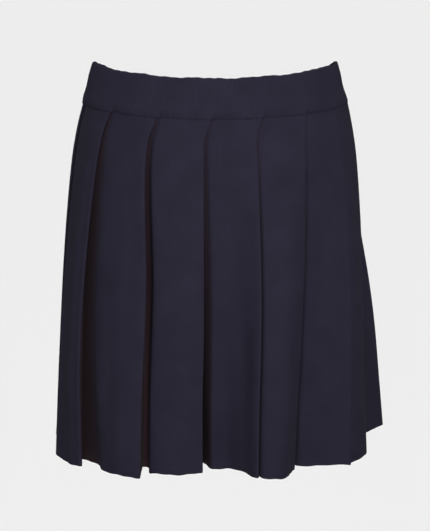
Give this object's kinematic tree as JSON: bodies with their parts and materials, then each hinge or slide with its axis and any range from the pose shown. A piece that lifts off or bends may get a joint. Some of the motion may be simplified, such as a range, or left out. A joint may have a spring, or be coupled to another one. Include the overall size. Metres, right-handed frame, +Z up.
{
  "type": "pleated skirt",
  "caption": "Short knit skirt with knife pleats all round under a smooth pull-on waistband, in its worn, hollow form, open at waist and hem.",
  "frame": {"origin": "the middle of the waist, halfway up the waistband at the sides", "axes": "+Z up along the wearer, the front faces -Y, and +X is on the right of a viewer in front"},
  "size_m": [0.3631, 0.2838, 0.4194],
  "materials": {
    "skirt_knit": "matt fine-gauge knit, dark navy",
    "waistband_knit": "matt fine-gauge knit with upright ribs, dark navy"
  },
  "bodies": {
    "root": {"front_skirt": "skirt_knit", "back_skirt": "skirt_knit", "front_waistband": "waistband_knit", "back_waistband": "waistband_knit"}
  },
  "joints": []
}
